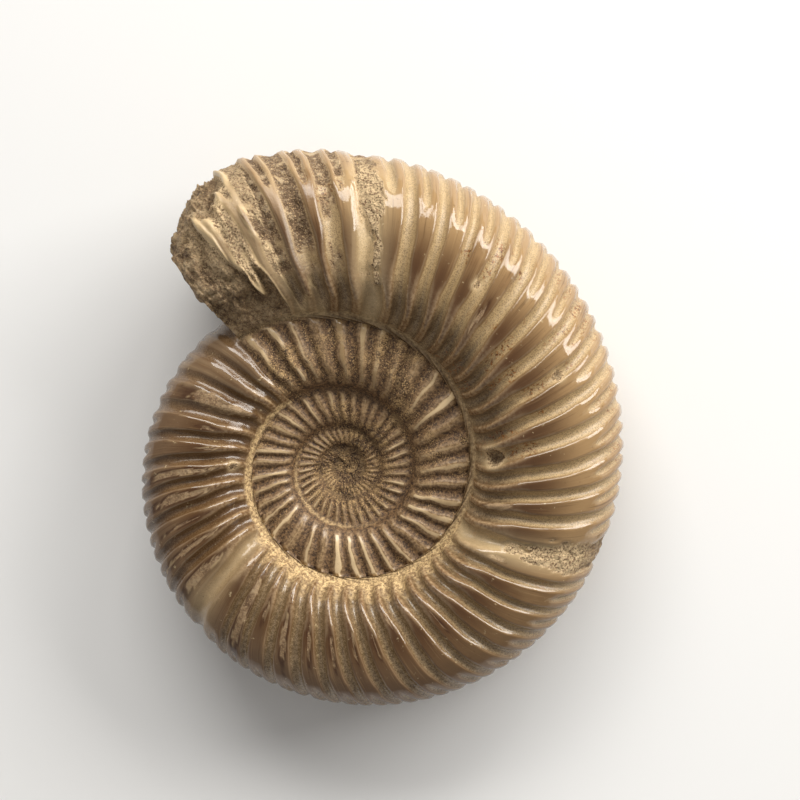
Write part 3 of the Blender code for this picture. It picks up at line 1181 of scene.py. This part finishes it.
# %% [markdown]
# ## Where top and groove meet
#
# The groove's wall is painted darker near the seam, as shade. A thin pale line marks the rim, where
# the polish cut through the shell's layers.

# %% Shell colour
surface = mix(in_groove, top, trench)
# Painted shade on the groove's walls near the seam.
wall_shade = times(remap(groove, 0.1, 0.35), remap(groove, 0.8, 0.45))
wall_shade = times(wall_shade, remap(share, 0.45, 0.15, 0.0, 0.6))
surface = mix(wall_shade, surface, colour(33, 24, 15))
surface = mix(times(pale, 0.75), surface, colour(83, 73, 56))
rim_line = times(remap(groove, 0.0, 0.05), remap(groove, 0.25, 0.1))
surface = mix(times(rim_line, times(outward, 0.25)), surface, colour(68, 59, 46))
pale_specks = (dust, 0.66, 0.74, 0.6, colour(80, 72, 56))
surface = tinted(surface, pale_specks, (dust, 0.35, 0.28, 0.35, UMBER))
built("rims:")

# %% [markdown]
# ## Inner turns and hub
#
# The unpolished turns have crests painted pale as a highlight, and grooves painted dark brown as
# shade, with golden grains and dark pits. Dust lies on them in drifts, with painted shade in its
# clefts and in the hub's middle.

# %% Inner turns
# Dark brown: the dust's base, and painted shade in the grooves.
brown_and_groove_shade = mottled(clumps, colour(23, 15, 8), colour(48, 36, 23))
# Pale crests: a painted highlight.
inner_crest_highlight = mottled(patches, colour(58, 48, 34), colour(86, 76, 60))
rib_body = mottled(clumps, colour(42, 32, 21), colour(62, 51, 37))
inner_hue = mix(remap(groove, 0.04, 0.14), inner_crest_highlight, rib_body)
inner_hue = mix(remap(groove, 0.25, 0.7), inner_hue, brown_and_groove_shade)
gold = times(remap(grains, 0.55, 0.65), remap(groove, 0.3, 0.9, 0.05, 0.8))
gold = times(gold, remap(stone, 0.0, 0.4, 0.3, 1.0))
inner_hue = mix(gold, inner_hue, colour(80, 66, 45))
dark_pits = times(remap(grains, 0.45, 0.36), remap(groove, 0.1, 0.7, 0.1, 0.8))
inner_hue = mix(dark_pits, inner_hue, PIT)
dust_with_painted_shade = mix(remap(drifts, 0.44, 0.60), brown_and_groove_shade, colour(66, 54, 37))
dust_with_painted_shade = mix(times(remap(grains, 0.52, 0.62), 0.8), dust_with_painted_shade, colour(82, 68, 47))
# Painted shade in the clefts under the dust.
painted_cleft_shade = (groove, 0.3, 0.8, 0.5, colour(24, 15, 8))
dust_with_painted_shade = tinted(dust_with_painted_shade, painted_cleft_shade, (grains, 0.43, 0.36, 1.0, PIT))
# Painted shade darkens the hub's middle.
dust_with_painted_shade = mix(times(amber, 0.8), dust_with_painted_shade, colour(18, 11, 6))
surface = mix(inner, surface, inner_hue)
built("inner turns:")

# %% [markdown]
# ## Stone and sediment
#
# The limestone is painted light on its crags as a highlight and brown in its clefts and creases as
# shade, and is cream where shell clings to it.

# %% Stone and sediment
cream = mix(remap(specks, 0.46, 0.64), colour(87, 76, 59), colour(48, 36, 24))
# Limestone tones, with painted highlights on the crags and painted shade in the creases.
limestone_lit_and_shaded = tinted(
    mix(remap(groove, 0.1, 0.8), colour(69, 58, 44), colour(50, 40, 29)),
    (clumps, 0.46, 0.58, 0.6, colour(42, 32, 22)),
    (clumps, 0.46, 0.36, 0.4, colour(84, 75, 61)),
    (crags, 0.48, 0.36, 0.8, colour(34, 24, 14)),
    (crags, 0.54, 0.66, 0.7, colour(85, 75, 60)),
    (grains, 0.55, 0.65, 0.8, colour(84, 71, 52)),
    (pale, 0.3, 0.9, 1.0, cream),
    (grains, 0.38, 0.28, 0.8, colour(27, 19, 12)),
)
surface = mix(remap(stone, 0.2, 0.7), surface, mix(inner, limestone_lit_and_shaded, dust_with_painted_shade))
loose = mottled(clumps, colour(54, 43, 29), colour(86, 74, 54))
loose = tinted(loose, (grains, 0.44, 0.34, 1.0, colour(40, 31, 20)))
surface = mix(remap(sediment, 0.1, 0.7), surface, loose)
surface = mix(times(remap(grains, 0.35, 0.28), in_groove), surface, PIT)
tree.links.new(surface, shader.inputs["Base Color"])
built("stone and sediment:")

# %% [markdown]
# ## Gloss
#
# Roughness follows one value, dull: the largest of how rocky, sandy, unpolished or weathered a
# point is.

# %% Gloss
unpolished = times(inner, remap(groove, 0.0, 0.5, 0.25, 0.8))
rough_parts = either(remap(stone, 0.1, 0.5), remap(sediment, 0.1, 0.5))
rough_parts = either(rough_parts, unpolished)
weathered = remap(rib, 38.5, 41.0, 0.0, 0.45)
groove_dull = times(in_groove, remap(rib, 16.0, 30.0, 0.28, 0.5))
dull = either(either(groove_dull, weathered), rough_parts)
tree.links.new(remap(dull, 0.0, 1.0, 0.08, 0.75), shader.inputs["Roughness"])
shader.inputs["IOR"].default_value = 1.55
built("gloss:")

# %% [markdown]
# ## Relief finer than the mesh
#
# Crags and grains finer than the faces only tilt the way that the surface faces. Polished tops
# keep a faint unevenness, which makes mirrored light waver.


# %% Fine relief
def bump(distance, strength, height, normal=None):
    """Tilts the facing as if the surface rose by a distance times the height."""
    inputs = {"Distance": distance, "Strength": strength, "Height": height}
    return node("Bump", {**inputs, "Normal": normal} if normal else inputs)


craggy = bump(3.0 * MM, remap(stone, 0.3, 0.9), crags)
gritty = bump(0.6 * MM, remap(stone, 0.3, 0.9, 0.0, 0.8), noise(place, 1300.0, 4.0), craggy)
uneven = bump(0.25 * MM, 0.35, noise(place, 300.0, 3.0), gritty)
fine_grains = node("Math", {0: clumps, 1: times(grains, 0.5)}, operation="ADD")
granular = bump(0.12 * MM, remap(dull, 0.0, 1.0, 0.02, 0.9), fine_grains, uneven)
tree.links.new(granular, shader.inputs["Normal"])
shell.data.materials.append(material)

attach(shell, "root")
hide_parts("ammonite")
built("fine relief:")

# %% [markdown]
# ## Floor and room
#
# A plain pale floor throws light back up, and a faint warm room fills the shadows.

# %% Floor and room
HALF_FLOOR = 1.5
FLOOR_COLOUR = (0.82, 0.83, 0.84, 1.0)
ROOM_COLOUR = (1.0, 0.96, 0.91, 1.0)

floor_mesh = bpy.data.meshes.new("floor")
signs = ((-1, -1), (1, -1), (1, 1), (-1, 1))
corners = [(x * HALF_FLOOR, y * HALF_FLOOR, 0.0) for x, y in signs]
floor_mesh.from_pydata(corners, [], [(0, 1, 2, 3)])
floor = added("floor", floor_mesh)
floor_material = bpy.data.materials.new("pale_floor")
floor_material.use_nodes = True
floor_shader = floor_material.node_tree.nodes["Principled BSDF"]
floor_shader.inputs["Base Color"].default_value = FLOOR_COLOUR
floor_shader.inputs["Roughness"].default_value = 0.7
floor_mesh.materials.append(floor_material)

world = bpy.data.worlds.new("soft_room")
world.use_nodes = True
background = world.node_tree.nodes["Background"]
background.inputs["Color"].default_value = ROOM_COLOUR
background.inputs["Strength"].default_value = 0.33
bpy.context.scene.world = world
print("the floor is", 2 * HALF_FLOOR, "m wide")

# %% [markdown]
# ## The window
#
# Polished stone shows its gloss only by what it mirrors, so the main light is a window with three
# columns of two panes, low on one side, whose reflections line up on the rib tops.

# %% Window and sky
PANE_COLOUR = (1.0, 0.97, 0.92)
WINDOW = (40.0, 24.0, 0.9)
PANE_COLUMNS = (-0.26, 0.0, 0.26)
PANE_WIDTH = 0.245
PANE_ROWS = (
    # height of its middle above the window's, height
    (0.07, 0.32),
    (-0.16, 0.09),
)
PANE_RADIANCE = 10.5
SKY = (94.0, 38.0, 1.6)
SKY_SIZE = (1.2, 0.6)
SKY_RADIANCE = 8.0


def panel(name, seen_at, size, step, radiance):
    """A flat light seen at an azimuth, height and distance. Its power is radiance by area by pi."""
    azimuth, height, distance = math.radians(seen_at[0]), math.radians(seen_at[1]), seen_at[2]
    level = math.cos(height)
    direction = Vector((level * math.cos(azimuth), level * math.sin(azimuth), math.sin(height)))
    facing = direction.to_track_quat("Z", "Y")
    pane = bpy.data.lights.new(name, "AREA")
    pane.shape = "RECTANGLE"
    pane.size, pane.size_y = size
    pane.energy = radiance * math.prod(size) * math.pi
    pane.color = PANE_COLOUR
    light = added(name, pane)
    light.rotation_euler = facing.to_euler()
    light.location = direction * distance + facing @ Vector((*step, 0.0))
    return light


panes = [
    panel("pane", WINDOW, (PANE_WIDTH, tall), (aside, rise), PANE_RADIANCE)
    for aside in PANE_COLUMNS
    for rise, tall in PANE_ROWS
]
panel("open_sky", SKY, SKY_SIZE, (0.0, 0.0), SKY_RADIANCE)
print("the window has", len(panes), "panes")

# %% [markdown]
# ## The camera
#
# It looks down from a little to one side, through a long lens, which keeps the coil round.

# %% The camera
CAMERA_TILT = 9.8
CAMERA_TOWARDS = 33.0
CAMERA_DISTANCE = 379.3 * MM
CAMERA_LENS = 99.0
AIM_RIGHT = 1.372
AIM_UP = 1.726

tilt = math.radians(CAMERA_TILT)
around = math.radians(CAMERA_TOWARDS)
level = math.sin(tilt)
sight = Vector((level * math.cos(around), level * math.sin(around), math.cos(tilt)))
upright = Vector((0.0, 0.0, 1.0)).rotation_difference(sight).to_matrix().to_4x4()
aim_right = Matrix.Rotation(math.radians(-AIM_RIGHT), 4, "Y")
aim = aim_right @ Matrix.Rotation(math.radians(AIM_UP), 4, "X")
lens = bpy.data.cameras.new("camera")
lens.lens = CAMERA_LENS
lens.sensor_width = 36.0
lens.clip_start = 10 * MM
camera = added("camera", lens)
camera.matrix_world = laid @ Matrix.Translation(sight * CAMERA_DISTANCE) @ upright @ aim
bpy.context.scene.camera = camera
bpy.context.scene.view_settings.view_transform = "Standard"
print("the camera is at, in mm:", in_mm(camera.location, 0))
